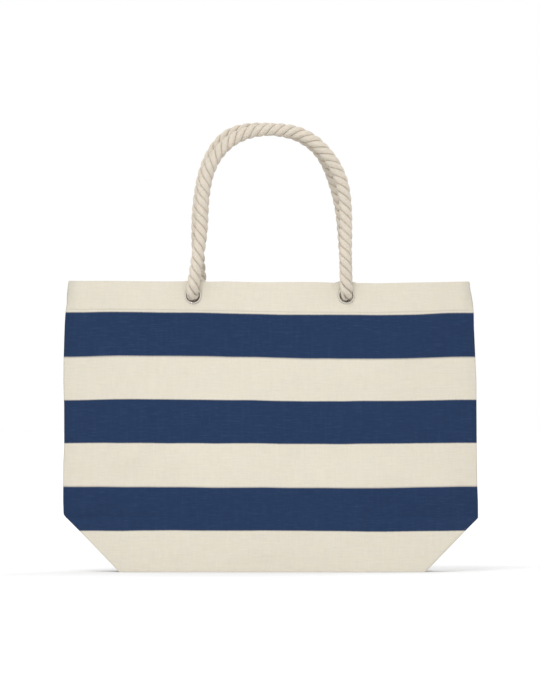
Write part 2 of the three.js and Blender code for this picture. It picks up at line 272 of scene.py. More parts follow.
def canvas(name, stripes=True, offset=0.0):
    t = Tree(name)
    u, v = t.uv()                                    # metres of cloth across and up
    x = t.math("MULTIPLY", u, 1000.0)
    y = t.math("MULTIPLY", v, 1000.0)
    p = t.vec(x, y)                                  # millimetres
    # slow wander of the threads
    wand_x = t.math("MULTIPLY_ADD", t.noise(t.scaled(p, (0.11, 0.02, 1)), 1.0, 2.0), 0.9, -0.45)
    wand_y = t.math("MULTIPLY_ADD", t.noise(t.scaled(p, (0.02, 0.11, 1)), 1.0, 2.0), 0.9, -0.45)
    xx = t.math("ADD", x, wand_x)
    yy = t.math("ADD", y, wand_y)
    # plain weave, 0.8 mm pitch
    pitch = 0.8
    sx = t.math("SINE", t.math("MULTIPLY", xx, math.pi / pitch))
    sy = t.math("SINE", t.math("MULTIPLY", yy, math.pi / pitch))
    c = t.math("MULTIPLY", sx, sy)
    ax = t.math("POWER", t.math("ABSOLUTE", sx), 0.55)
    ay = t.math("POWER", t.math("ABSOLUTE", sy), 0.55)
    hw = t.math("MULTIPLY", ax, t.math("MULTIPLY_ADD", c, 0.42, 0.56))
    hf = t.math("MULTIPLY", ay, t.math("MULTIPLY_ADD", c, -0.42, 0.56))
    weave = t.math("MAXIMUM", hw, hf)
    # slubs: long thin thick places, mostly along the weft
    weft = t.noise(t.scaled(p, (0.075, 1.25, 1)), 1.0, 3.0, 0.6)
    warp = t.noise(t.scaled(p, (1.25, 0.06, 1)), 1.0, 3.0, 0.6)
    slub = t.range(weft, 0.56, 0.74, 0.0, 1.0)
    mott = t.noise(t.scaled(p, (0.035, 0.05, 1)), 1.0, 4.0, 0.6)
    fine = t.noise(t.scaled(p, (2.2, 2.2, 1)), 1.0, 3.0, 0.7)

    streak = t.noise(t.scaled(p, (0.030, 0.42, 1)), 1.0, 3.0, 0.6)
    column = t.noise(t.scaled(p, (0.22, 0.022, 1)), 1.0, 3.0, 0.6)
    tone = t.math("ADD", t.math("MULTIPLY_ADD", weft, 0.20, 0.90), t.math("MULTIPLY_ADD", warp, 0.14, -0.07))
    tone = t.math("ADD", tone, t.math("MULTIPLY_ADD", streak, 0.10, -0.05))
    tone = t.math("ADD", tone, t.math("MULTIPLY_ADD", column, 0.06, -0.03))
    tone = t.math("ADD", tone, t.math("MULTIPLY_ADD", mott, 0.08, -0.04))
    tone = t.math("MULTIPLY", tone, t.math("MULTIPLY_ADD", weave, 0.30, 0.80))
    cream = t.mix(t.range(mott, 0.35, 0.7, 0.0, 1.0), CREAM, (0.668, 0.618, 0.512))
    # a scatter of darker cotton flecks
    fleck = t.math("LESS_THAN", t.voronoi(t.scaled(p, (0.16, 0.22, 1)), 1.0), 0.035)
    cream = t.mix(t.math("MULTIPLY", fleck, 0.35), cream, (0.40, 0.33, 0.22))
    colour = cream
    if stripes:
        ragged = t.math("MULTIPLY_ADD", t.noise(t.scaled(p, (1.25, 0.01, 1)), 1.0, 1.0), 0.7, -0.35)
        drift = t.math("MULTIPLY_ADD", t.noise(t.scaled(p, (0.012, 0.004, 1)), 1.0, 1.0), 2.4, -1.2)
        ys = t.math("ADD", t.math("ADD", y, ragged), drift)
        ys = t.math("SUBTRACT", ys, offset)
        ys = t.math("DIVIDE", ys, 400.0)
        stops = [(0.0, 0.0)]
        for a, b in STRIPES:
            e = 0.30
            stops += [((a - e) / 400, 0.0), ((a + e) / 400, 1.0), ((b - e) / 400, 1.0), ((b + e) / 400, 0.0)]
        band = t.ramp(ys, stops)
        navy = t.mix(t.math("MULTIPLY", slub, 0.60), NAVY, (0.036, 0.070, 0.150))
        navy = t.mix(t.range(streak, 0.55, 0.78, 0.0, 0.45), navy, (0.026, 0.056, 0.124))
        navy = t.mix(t.range(column, 0.52, 0.78, 0.0, 0.35), navy, (0.022, 0.048, 0.108))
        navy = t.mix(t.range(warp, 0.60, 0.80, 0.0, 0.30), navy, (0.028, 0.058, 0.124))
        colour = t.mix(band, cream, navy)
    # a little soil and wear where the cloth folds and rests
    low = t.range(y, -2.0, 7.0, 1.0, 0.0)
    low = t.math("MULTIPLY", low, t.range(t.noise(t.scaled(p, (0.09, 0.3, 1)), 1.0, 3.0), 0.35, 0.7, 0.0, 0.28))
    colour = t.mix(low, colour, (0.42, 0.37, 0.29))
    # painted shade: the side edges darkened, the hem corners darkened and greyed, the fold at the rim darkened
    ax2 = t.math("ABSOLUTE", x)
    edge = t.range(ax2, 255.0, 270.0, 0.0, 1.0)
    edge = t.math("MULTIPLY", edge, t.math("MULTIPLY_ADD", t.noise(t.scaled(p, (0.5, 0.07, 1)), 1.0, 3.0), 0.9, 0.35))
    hemz = t.range(y, 332.0, 345.0, 0.35, 1.0)
    edge = t.math("MULTIPLY", edge, hemz)
    tone = t.math("SUBTRACT", tone, t.math("MULTIPLY", edge, 0.115))
    # painted shade: the side edges in the hem zone are also greyed towards green-grey
    hem_edge_shade = t.math("MULTIPLY", t.range(ax2, 258.0, 269.0, 0.0, 0.30), t.range(y, 338.0, 352.0, 0.0, 1.0))
    colour = t.mix(hem_edge_shade, colour, (0.50, 0.50, 0.42))
    # painted shade: up to 4 % darker towards the sides, where the cloth turns away from the light
    tone = t.math("SUBTRACT", tone, t.range(ax2, 110.0, 256.0, 0.0, 0.040))
    # painted shade: darker towards the bottom, by 6.2 % at the base
    tone = t.math("SUBTRACT", tone, t.range(y, 10.0, 110.0, 0.062, 0.0))
    # painted shade: a narrow dark band along the fold at the rim
    rim_fold_shade = t.range(t.math("ABSOLUTE", t.math("SUBTRACT", y, 376.4)), 0.2, 1.6, 1.0, 0.0)
    tone = t.math("SUBTRACT", tone, t.math("MULTIPLY", rim_fold_shade, 0.05))
    # painted shade: an uneven dark crease along the hem stitching
    stitch_crease_shade = t.range(t.math("ABSOLUTE", t.math("SUBTRACT", y, 337.0)), 0.3, 1.5, 1.0, 0.0)
    tone = t.math("SUBTRACT", tone, t.math("MULTIPLY", stitch_crease_shade, t.math("MULTIPLY_ADD", t.noise(t.scaled(p, (0.05, 0.01, 1)), 1.0, 2.0), 0.14, 0.0)))
    n = t.t.nodes.new("ShaderNodeHueSaturation")
    t.put(n.inputs["Value"], tone)
    t.put(n.inputs["Color"], colour)
    t.set(Base_Color=n.outputs[0])
    t.set(Roughness=t.math("MULTIPLY_ADD", fine, 0.12, 0.86))
    t.bsdf.inputs["Specular IOR Level"].default_value = 0.12
    t.bsdf.inputs["Sheen Weight"].default_value = 0.04
    t.bsdf.inputs["Sheen Roughness"].default_value = 0.55
    h = t.math("ADD", weave, t.math("MULTIPLY", slub, 0.45))
    h = t.math("ADD", h, t.math("MULTIPLY", fine, 0.35))
    b = t.bump(h, 0.00022, 0.8)
    crumple = t.noise(t.scaled(p, (0.03, 0.04, 1)), 1.0, 5.0, 0.55)
    b2 = t.bump(crumple, 0.0016, 0.35, b)
    t.t.links.new(b2, t.bsdf.inputs["Normal"])
    return t.mat


def thread_mat(name, colour, pitch=0.35):
    t = Tree(name)
    u, v = t.uv()
    x = t.math("MULTIPLY", u, 1000.0)
    y = t.math("MULTIPLY", v, 1000.0)
    s = t.math("SINE", t.math("MULTIPLY", t.math("ADD", x, t.math("MULTIPLY", y, 0.8)), math.pi / pitch))
    ply = t.math("ABSOLUTE", s)
    fine = t.noise(t.vec(x, y), 3.0, 3.0, 0.6)
    n = t.t.nodes.new("ShaderNodeHueSaturation")
    t.put(n.inputs["Value"], t.math("ADD", t.math("MULTIPLY_ADD", ply, 0.22, 0.78), t.math("MULTIPLY_ADD", fine, 0.2, -0.1)))
    n.inputs["Color"].default_value = (*colour, 1)
    t.set(Base_Color=n.outputs[0])
    t.set(Roughness=t.math("MULTIPLY_ADD", fine, 0.15, 0.62))
    t.bsdf.inputs["Sheen Weight"].default_value = 0.12
    t.t.links.new(t.bump(t.math("ADD", ply, t.math("MULTIPLY", fine, 0.4)), 0.00012, 0.7), t.bsdf.inputs["Normal"])
    return t.mat


def rope_mat(name, twist=0.172, base=(0.745, 0.680, 0.575)):
    """u: millimetres round the strand / 1000, v: millimetres along the strand / 1000"""
    t = Tree(name)
    u, v = t.uv()
    x = t.math("MULTIPLY", u, 1000.0)
    y = t.math("MULTIPLY", v, 1000.0)
    girth = 2 * math.pi * STRAND_R
    lead = t.math("ADD", x, t.math("MULTIPLY", y, twist * STRAND_R))
    wob = t.math("MULTIPLY_ADD", t.noise(t.scaled(t.vec(x, y), (0.25, 0.10, 1)), 1.0, 2.0), 1.6, -0.8)
    lead = t.math("ADD", lead, wob)
    yarns = 12.0
    ph = t.math("MULTIPLY", lead, math.pi * yarns / girth)
    yarn = t.math("POWER", t.math("ABSOLUTE", t.math("SINE", ph)), 0.6)
    along = t.math("SUBTRACT", y, t.math("MULTIPLY", x, 0.5))
    fibre = t.noise(t.vec(t.math("MULTIPLY", lead, 3.4), t.math("MULTIPLY", along, 0.28)), 1.0, 4.0, 0.65)
    hair = t.noise(t.vec(t.math("MULTIPLY", lead, 8.0), t.math("MULTIPLY", along, 0.9)), 1.0, 2.0, 0.7)
    soft = t.noise(t.scaled(t.vec(x, y), (0.06, 0.03, 1)), 1.0, 3.0, 0.5)
    # painted shade: the sides of each strand that face its neighbours are darkened towards dark brown
    cosine = t.math("COSINE", t.math("DIVIDE", x, STRAND_R))
    strand_groove_shade = t.range(cosine, -0.10, 0.50, 1.0, 0.0)
    strand_groove_shade = t.math("POWER", strand_groove_shade, 1.5)
    tone = t.math("ADD", t.math("MULTIPLY_ADD", yarn, 0.26, 0.77), t.math("MULTIPLY_ADD", fibre, 0.44, -0.22))
    tone = t.math("ADD", tone, t.math("MULTIPLY_ADD", soft, 0.16, -0.08))
    col = t.mix(t.range(soft, 0.35, 0.68, 0.0, 1.0), base, (0.735, 0.648, 0.535))
    warm = t.noise(t.scaled(t.vec(x, y), (0.12, 0.05, 1)), 1.0, 2.0, 0.5)
    col = t.mix(t.range(warm, 0.55, 0.75, 0.0, 0.6), col, (0.765, 0.640, 0.520))
    col = t.mix(t.math("MULTIPLY", strand_groove_shade, 0.85), col, (0.245, 0.185, 0.125))
    n = t.t.nodes.new("ShaderNodeHueSaturation")
    t.put(n.inputs["Value"], tone)
    t.put(n.inputs["Color"], col)
    t.set(Base_Color=n.outputs[0])
    t.set(Roughness=t.math("MULTIPLY_ADD", fibre, 0.14, 0.80))
    t.bsdf.inputs["Specular IOR Level"].default_value = 0.25
    t.bsdf.inputs["Sheen Weight"].default_value = 0.18
    t.bsdf.inputs["Sheen Roughness"].default_value = 0.5
    h = t.math("ADD", yarn, t.math("MULTIPLY", fibre, 1.1))
    h = t.math("ADD", h, t.math("MULTIPLY", hair, 0.45))
    t.t.links.new(t.bump(h, 0.0007, 0.85), t.bsdf.inputs["Normal"])
    return t.mat


def nickel(name, value=0.70):
    t = Tree(name)
    p = t.obj()
    scr = t.noise(t.scaled(p, (900, 900, 160)), 1.0, 4.0, 0.6)
    blotch = t.noise(t.scaled(p, (160, 160, 160)), 1.0, 4.0, 0.6)
    dull = t.range(blotch, 0.5, 0.72, 0.0, 1.0)
    col = t.mix(dull, (value, value * 0.965, value * 0.90), (value * 0.80, value * 0.76, value * 0.69))
    t.set(Base_Color=col)
    t.bsdf.inputs["Metallic"].default_value = 1.0
    r = t.math("ADD", t.math("MULTIPLY_ADD", scr, 0.16, 0.20), t.math("MULTIPLY", dull, 0.14))
    t.set(Roughness=r)
    t.t.links.new(t.bump(t.math("ADD", scr, t.math("MULTIPLY", blotch, 0.8)), 0.00005, 0.5), t.bsdf.inputs["Normal"])
    return t.mat


STRAND_R = 4.05
HELIX_R = 4.5
ROPE_R = STRAND_R + HELIX_R
LAY = 36.0

M_FRONT = canvas("canvas_front")
M_BACK = canvas("canvas_back", offset=2.6)
M_THREAD = thread_mat("sewing_thread", (0.66, 0.62, 0.53))
M_SERGE = thread_mat("overlock_thread", (0.62, 0.58, 0.49), 0.5)
M_ROPE = rope_mat("rope_cotton")
M_METAL = nickel("nickel")
# painted shade: a darker copy of the nickel for the washers inside the bag
M_METAL_SHADED = nickel("nickel_shaded_inside", 0.55)

# ------------------------------------------------------------------ bag surface (millimetres)
LEFT = np.array([[0, 197.3], [72.7, 270.0], [90, 270.6], [140, 270.3], [160, 269.2], [215, 269.3], [245, 270.2],
                 [275, 269.9], [300, 269.2], [320, 268.4], [332, 267.6], [344, 265.9], [358, 265.5], [368, 264.6],
                 [376, 263.4]], float)
RIGHT = np.array([[0, 197.6], [68.8, 266.4], [90, 266.2], [110, 265.4], [145, 264.8], [215, 264.3], [245, 264.2],
                  [262, 263.4], [290, 262.2], [315, 261.0], [332, 260.8], [346, 259.7], [358, 257.8], [366, 256.2],
                  [376, 255.4]], float)
HALF_DEPTH = np.array([[0, 70], [20, 63.5], [45, 56.5], [70, 52], [110, 48], [160, 45], [250, 45],
                       [320, 45.4], [376, 46]], float)
EDGE = 1.15
BULGE = 2.2
EYES = {"front_left": (-102.2, -1), "front_right": (95.6, -1), "back_left": (-94.0, 1), "back_right": (96.7, 1)}
EYE_Z = 357.0
RIM = 376.0


def soft_table(tab, sigma, keep=()):
    z = np.arange(-80, 460, 1.0)
    v = np.interp(z, tab[:, 0], tab[:, 1])
    k = np.exp(-0.5 * (np.arange(-40, 41) / sigma) ** 2)
    k /= k.sum()
    return z, np.convolve(np.pad(v, 40, mode="edge"), k, mode="valid")


_dz, _dv = soft_table(HALF_DEPTH, 12.0)
_lz, _lv = soft_table(LEFT, 1.0)
_rz, _rv = soft_table(RIGHT, 1.0)


def half_width(z, w=-1.0):
    """distance of the side edge from the middle, left for w < 0 and right for w > 0"""
    z = np.asarray(z, float)
    return np.where(np.asarray(w) < 0, np.interp(z, _lz, _lv), np.interp(z, _rz, _rv))


# how far the cloth hangs up or down from its flat place, by x and height
DRAPE_X = [-250, -185, -110, -40, 35, 100, 165, 245]
DRAPE_Z = [0, 52, 109, 165, 221, 277, 333, 376]
DRAPE = np.array([
    [0.0, 0.0, 0.0, 0.0, 0.0, 0.0, 0.0, 0.0],
    [0.3, 0.9, 1.2, 1.2, 0.4, 0.0, -0.7, 0.3],
    [0.8, 1.3, 0.8, 0.4, -0.3, -0.5, -0.3, 1.3],
    [0.9, 1.3, 1.4, 1.1, 0.2, 0.3, 0.4, 1.7],
    [0.6, 2.1, 1.9, 0.9, -0.5, -0.2, -0.2, 1.4],
    [0.2, 1.8, 1.3, 0.2, -1.5, -2.6, -2.2, 0.5],
    [2.8, 2.9, 1.6, 0.2, -1.2, -1.6, -1.1, 1.7],
    [0.3, -1.4, -1.3, -2.4, -1.9, -3.5, -3.6, -1.3]])
_gx = np.arange(-300, 301, 5.0)
_gz = np.arange(-40, 441, 5.0)


def _drape_grid(tab):
    rows = np.array([np.interp(_gx, DRAPE_X, r) for r in tab])
    g = np.array([np.interp(_gz, DRAPE_Z, rows[:, i]) for i in range(len(_gx))]).T
    k = np.exp(-0.5 * (np.arange(-12, 13) / 3.2) ** 2)
    k /= k.sum()
    g = np.apply_along_axis(lambda v: np.convolve(np.pad(v, 12, mode="edge"), k, mode="valid"), 1, g)
    k = np.exp(-0.5 * (np.arange(-6, 7) / 1.6) ** 2)
    k /= k.sum()
    return np.apply_along_axis(lambda v: np.convolve(np.pad(v, 6, mode="edge"), k, mode="valid"), 0, g)


_front_grid = _drape_grid(DRAPE)
_back = DRAPE[:, ::-1] * 0.7
_back[-1] = DRAPE[-1] - 0.9
_back_grid = _drape_grid(_back)


def drape(x, z, side):
    g = _front_grid if side < 0 else _back_grid
    fx = np.clip((np.asarray(x, float) + 300) / 5.0, 0, len(_gx) - 1.001)
    fz = np.clip((np.asarray(z, float) + 40) / 5.0, 0, len(_gz) - 1.001)
    i, j = fx.astype(int), fz.astype(int)
    a, b = fx - i, fz - j
    return (g[j, i] * (1 - a) * (1 - b) + g[j, i + 1] * a * (1 - b) + g[j + 1, i] * (1 - a) * b + g[j + 1, i + 1] * a * b)


def half_depth(z):
    raw = np.interp(z, HALF_DEPTH[:, 0], HALF_DEPTH[:, 1])
    sm = np.interp(z, _dz, _dv)
    k = smooth((z - 8) / 30.0)
    return raw * (1 - k) + sm * k


def corner(z):
    return np.where(z < 70, (70 - EDGE) * (1 - z / 70.0), 0.0) + EDGE


def waves(x, z, seed, n, lo, hi):
    r = np.random.default_rng(seed)
    out = np.zeros_like(x, dtype=float)
    for _ in range(n):
        a = r.uniform(0, 2 * math.pi)
        L = r.uniform(lo, hi)
        ph = r.uniform(0, 2 * math.pi)
        out += np.sin(2 * math.pi * (x * math.cos(a) + z * math.sin(a)) / L + ph)
    return out / math.sqrt(n / 2.0)


def face_point(w, z, side):
    """outer face of a panel: w across the cloth, z up; side -1 front, +1 back"""
    w = np.asarray(w, float)
    z = np.asarray(z, float)
    xe = half_width(z, w)
    wf = np.where(z < 70, 200.0 + z, 270.0)          # cloth width on the broad face
    aw = np.abs(w)
    on_face = aw <= wf
    u = np.minimum(aw / wf, 1.0)
    x = np.sign(w) * np.where(on_face, u * xe, xe)
    e = corner(z)
    d = e + (half_depth(z) - e) * (1 - u ** BULGE)
    lo = 0.15 + 1.0 * np.clip(z / 70.0, 0, 1)
    span = np.maximum(270.0 - wf, 1e-6)
    k = np.clip((aw - wf) / span, 0, 1)
    d = np.where(on_face, d, e + (lo - e) * k)
    # slack in the cloth: broad shallow waves, a belly that sags, drawn folds under the eyelets
    away = smooth((270 - aw) / 40.0) * smooth(z / 26.0) * smooth((RIM - 22 - z) / 45.0)
    slack = 1.15 * waves(x, z * 0.8, 11 + side, 9, 110, 300) + 0.35 * waves(x, z, 31 + side, 8, 40, 90)
    low = smooth((150 - z) / 70.0) * smooth(z / 24.0) * smooth((262 - aw) / 30.0)
    slack = slack + low * (1.3 * waves(x, z * 0.35, 71 + side, 6, 60, 130))
    for key, (ex, s) in EYES.items():
        if s == side:
            dx = x - ex
            below = np.clip((EYE_Z - z), 0, 400)
            fan = np.exp(-((dx / (9 + below * 0.22)) ** 2)) * smooth(below / 25.0) * np.exp(-below / 85.0)
            slack = slack + 1.6 * fan - 0.9 * np.exp(-(((np.abs(dx) - 22 - below * 0.25) / 16.0) ** 2)) * smooth(below / 30.0) * np.exp(-below / 70.0)
    d = d + away * np.clip(slack, -3.2, 2.6)
    # the rim bows a little between the eyelets
    near = np.ones_like(x)
    for key, (ex, s) in EYES.items():
        if s == side:
            near = near * smooth((np.abs(x - ex) - 14) / 28.0)
    rim = smooth((z - 325) / 50.0) * near * smooth((258 - aw) / 26.0)
    d = d + rim * 1.3 * waves(x, x * 0 + 3.0, 91 + side, 5, 70, 210)
    hold = smooth(z / 40.0)
    zz = z + drape(x, z, side) * hold + smooth((z - 318) / 58.0) * near * 0.25 * waves(x, x * 0, 55 + side, 5, 60, 160)
    return np.stack([x, side * d, zz], -1)


def eye_cloth(key):
    """where an eyelet sits in the cloth's own coordinates"""
    ex, s = EYES[key]
    v = EYE_Z
    for _ in range(6):
        v = EYE_Z - float(drape(np.array(ex), np.array(v), s)) * float(smooth(np.array(v / 40.0)))
    return ex * 270.0 / float(half_width(np.array(v), ex)), v


def face_normal(w, z, side):
    h = 0.6
    a = face_point(w + h, z, side) - face_point(w - h, z, side)
    b = face_point(w, z + h, side) - face_point(w, z - h, side)
    n = np.cross(a, b)
    n /= np.maximum(np.linalg.norm(n, axis=-1, keepdims=True), 1e-9)
    flip = np.where((n[..., 1] * side) < 0, -1.0, 1.0)[..., None]
    # on the corner facets outward means down and out along x
    nf = n * flip
    return nf


THICK = 0.8
STEP = 2.6


def panel(side):
    name = "front_cloth" if side < 0 else "back_cloth"
    inner_w = np.linspace(-266.5, 266.5, int(533 / STEP) + 1)
    ins = [-200.0, 200.0]
    for k in ins:
        inner_w[np.argmin(np.abs(inner_w - k))] = k
    edge = np.array([268.2, 269.3, 270.0])
    w_cols = np.concatenate([-edge[::-1], inner_w, edge])
    nc = len(w_cols)
    i200 = [int(np.argmin(np.abs(w_cols - k))) for k in (-200.0, 200.0)]
    # below the boxed corner each row meets a column exactly on the fold between broad face and corner facet
    z_low = w_cols[w_cols > 199.99] - 200.0
    z_face = np.concatenate([[RIM - 0.6, RIM - 1.8], np.linspace(RIM - 4, 72.4, int(300 / STEP)), z_low, [0.9]])
    z_face = np.sort(z_face)[::-1]
    nf = len(z_face)
    W, Z = np.meshgrid(w_cols, z_face)
    hem_z = np.concatenate([np.linspace(RIM - 41.5, RIM - 4, 15), [RIM - 1.8, RIM - 0.6]])
    Wh, Zh = np.meshgrid(w_cols, hem_z)

    kill = {"face": set(), "hem": set()}

    def open_holes(Wa, Za, tag):
        A, R1 = 9.7, 24.0
        for key, (ex, s) in EYES.items():
            if s != side:
                continue
            ew, ev = eye_cloth(key)
            dw, dz = Wa - ew, Za - ev
            r = np.hypot(dw, dz)
            j, i = np.unravel_index(np.argmin(r), r.shape)
            # bring the nearest point to the centre
            ow, oz = Wa[j, i] - ew, Za[j, i] - ev
            f = smooth(1 - r / R1)
            Wa -= ow * f
            Za -= oz * f
            dw, dz = Wa - ew, Za - ev
            r = np.hypot(dw, dz)
            m = (r < R1) & (r > 1e-6)
            rn = A + r * (R1 - A) / R1
            ring = np.zeros_like(m)
            ring[j - 1:j + 2, i - 1:i + 2] = True
            ring[j, i] = False
            rn = np.where(ring, A, rn)
            sc = np.where(m, rn / np.maximum(r, 1e-6), 1.0)
            Wa[m] = (ew + dw * sc)[m]
            Za[m] = (ev + dz * sc)[m]
            for jj in (j - 1, j):
                for ii in (i - 1, i):
                    kill[tag].add((jj, ii))

    open_holes(W, Z, "face")
    open_holes(Wh, Zh, "hem")

    verts, uvs = [], []
    idx = {}

    def put(tag, P, U):
        n0 = sum(len(a) for a in verts)
        verts.append(P.reshape(-1, 3))
        uvs.append(U.reshape(-1, 2))
        idx[tag] = n0 + np.arange(P.shape[0] * P.shape[1]).reshape(P.shape[:2])

    # broad face and corner facets
    P = face_point(W, Z, side)
    N = face_normal(W, Z, side)
    # facets face down and outwards
    facet = (np.abs(W) > np.where(Z < 70, 200.0 + Z, 270.0) + 0.01) & (Z < 69)
    nx = np.sign(W)
    Nf = np.stack([nx * 0.7071, 0 * nx, -0.7071 + 0 * nx], -1)
    N = np.where(facet[..., None], Nf, N)
    M = P - N * (THICK / 2)
    M[..., 2] = np.maximum(M[..., 2], THICK / 2)
    U = np.stack([W, Z], -1) / 1000.0
    put("face", M, U)

    # hem: the cloth goes over the rim and down inside, as far as the side seams
    Ph = face_point(Wh, Zh, side)
    Nh = face_normal(Wh, Zh, side)
    gap = 1.35 + 0.18 * waves(Wh, Zh * 2.0, 17 + side, 6, 16, 48) * smooth((RIM - Zh) / 20.0)
    Mh = Ph - Nh * gap[..., None]
    Uh = np.stack([Wh, 2 * RIM - Zh + 0.5], -1) / 1000.0
    put("hem", Mh, Uh)

    # rolled rim between the two layers
    top = face_point(w_cols, np.full(nc, RIM - 0.6), side)
    nt = face_normal(w_cols, np.full(nc, RIM - 0.6), side)
    roll = []
    ru = []
    for k, a in enumerate((35.0, 90.0, 145.0)):
        a = math.radians(a)
        mid = 0.4 + (0.95 / 2) * (1 - math.cos(a))
        roll.append(top - nt * mid + np.array([0, 0, 1.0]) * (0.62 * math.sin(a)))
        ru.append(np.stack([w_cols, np.full(nc, RIM + 0.2 * k)], -1) / 1000.0)
    put("roll", np.array(roll), np.array(ru))

    # base, out to the boxed corners
    yb = np.concatenate([[69.6, 68.4, 66.0], np.linspace(62, 3, int(59 / STEP)), [1.4, 0.5]])
    wb = w_cols[i200[0]:i200[1] + 1]
    Wb, Yb = np.meshgrid(wb, yb)
    zb = THICK / 2 + 0.35 * (1 + waves(Wb, Yb, 41 + side, 7, 50, 160)) * smooth((66 - Yb) / 20) * smooth(Yb / 10) * smooth((196 - np.abs(Wb)) / 14)
    zb = np.maximum(zb, THICK / 2)
    bx = np.where(Wb < 0, LEFT[0, 1], RIGHT[0, 1]) / 200.0
    B = np.stack([Wb * bx, side * Yb, zb], -1)
    Ub = np.stack([Wb, -(70 - Yb)], -1) / 1000.0
    put("base", B, Ub)

    # seam allowances: sides, turned inwards at y = 0
    ze = z_face
    for sgn, tag in ((-1, "left"), (1, "right")):
        xe = half_width(ze, sgn)
        lift = drape(sgn * xe, ze, side) * smooth(ze / 40.0)
        rows = []
        ur = []
        ang = smooth(ze / 80.0)
        inx = -sgn * (0.35 + 0.65 * ang)
        inz = 0.94 * (1 - ang)
        ln = np.hypot(inx, inz)
        inx, inz = inx / ln, inz / ln
        for k, (a, yy) in enumerate(((0.35, 0.95), (0.2, 0.47), (1.2, 0.44), (4.0, 0.44), (7.0, 0.44), (9.5, 0.44))):
            if k < 2:
                px = sgn * (xe + (0.1 - a))
                pz = np.maximum(ze, 0.4) + lift
            else:
                px = sgn * xe + inx * a
                pz = np.maximum(ze, 0.4) + inz * a + lift
            pz = np.where(ze > RIM - 1.2, np.minimum(ze, RIM - 1.0) + lift, pz)
            rows.append(np.stack([px, side * np.full(len(ze), yy), pz], -1))
            ur.append(np.stack([sgn * np.full(len(ze), 270.5 + a), ze], -1) / 1000.0)
        A = np.array(rows).transpose(1, 0, 2)
        Ua = np.array(ur).transpose(1, 0, 2)
        put(tag, A, Ua)
    # allowance of the base seam
    rows, ur = [], []
    for k, (a, yy) in enumerate(((0.5, 0.44), (2.5, 0.44), (4.5, 0.5))):
        rows.append(np.stack([wb * np.where(wb < 0, LEFT[0, 1], RIGHT[0, 1]) / 200.0, side * np.full(len(wb), yy),
                              np.full(len(wb), THICK / 2 + a)], -1))
        ur.append(np.stack([wb, np.full(len(wb), -70.0 - a)], -1) / 1000.0)
    put("fin", np.array(rows), np.array(ur))

    V = np.vstack(verts)
    T = np.vstack(uvs)
    faces = []

    def on_fold(j, i):
        return z_face[j] < 70.01 and abs(abs(w_cols[i]) - 200.0 - z_face[j]) < 1e-6

    def grid(ix, skip=(), folds=False):
        R, C = ix.shape
        for j in range(R - 1):
            for i in range(C - 1):
                if (j, i) in skip:
                    continue
                a, b, c, d = ix[j, i], ix[j + 1, i], ix[j + 1, i + 1], ix[j, i + 1]
                if folds and on_fold(j, i + 1) and on_fold(j + 1, i):
                    faces.extend([(a, b, d), (b, c, d)])
                elif folds and on_fold(j, i) and on_fold(j + 1, i + 1):
                    faces.extend([(a, b, c), (a, c, d)])
                else:
                    faces.append((a, b, c, d))

    hem_cols = [i for i, w in enumerate(w_cols) if abs(w) <= 262.5]
    c0, c1 = hem_cols[0], hem_cols[-1] + 1
    grid(idx["face"], kill["face"], folds=True)
    # hem rows run upwards; its top joins the roll, which joins the face
    hem = idx["hem"][:, c0:c1]
    khem = {(j, i - c0) for j, i in kill["hem"]}
    grid(hem[::1], khem)
    grid(np.vstack([idx["hem"][-1:, c0:c1], idx["roll"][2:3, c0:c1]]))
    # the rolled rim itself runs on to the side seams
    grid(np.vstack([idx["roll"][::-1, 1:-1], idx["face"][:1, 1:-1]]))
    base = np.vstack([idx["face"][-1:, i200[0]:i200[1] + 1], idx["base"], idx["fin"]])
    grid(base)
    for tag, col in (("left", 0), ("right", nc - 1)):
        A = np.hstack([idx["face"][:, col:col + 1], idx[tag]])
        grid(A)
    # orientation: outward normals
    o = new_mesh(name, V, [tuple(int(k) for k in f) for f in faces], M_FRONT if side < 0 else M_BACK, T)
    me = o.data
    # drop unused points
    import bmesh
    bm = bmesh.new()
    bm.from_mesh(me)
    bmesh.ops.delete(bm, geom=[v for v in bm.verts if not v.link_faces], context="VERTS")
    bmesh.ops.recalc_face_normals(bm, faces=bm.faces)
    bm.faces.ensure_lookup_table()
    ref = max(bm.faces, key=lambda f: f.calc_area() if abs(f.calc_center_median().z - 0.2) < 0.05 and abs(f.calc_center_median().x) < 0.1 else 0)
    if ref.normal.y * side < 0:
        bmesh.ops.reverse_faces(bm, faces=bm.faces)
    # soften the creases of the boxed corners and of the base edge
    crease = [v for v in bm.verts if (v.co.z < 0.062 and abs(v.co.x) > 0.19) or (v.co.z < 0.004 and abs(v.co.y) > 0.062)
              or (v.co.z < 0.0684 and abs(v.co.x) > 0.24 and abs(v.co.y) > 0.0026)]
    for _ in range(2):
        bmesh.ops.smooth_vert(bm, verts=[v for v in crease if not v.is_boundary], factor=0.5,
                              use_axis_x=True, use_axis_y=True, use_axis_z=True)
    for v in bm.verts:
        if v.co.z < THICK / 2 * MM:
            v.co.z = THICK / 2 * MM
    bm.to_mesh(me)
    bm.free()
    m = o.modifiers.new("thick", "SOLIDIFY")
    m.thickness = THICK * MM
    m.offset = 0.0
    m.use_even_offset = False
    apply_modifiers(o)
    o.data.polygons.foreach_set("use_smooth", [True] * len(o.data.polygons))
    return o


front = panel(-1)
back = panel(1)
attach(front, "bag")
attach(back, "bag")
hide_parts("front_panel")
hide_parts("back_panel")


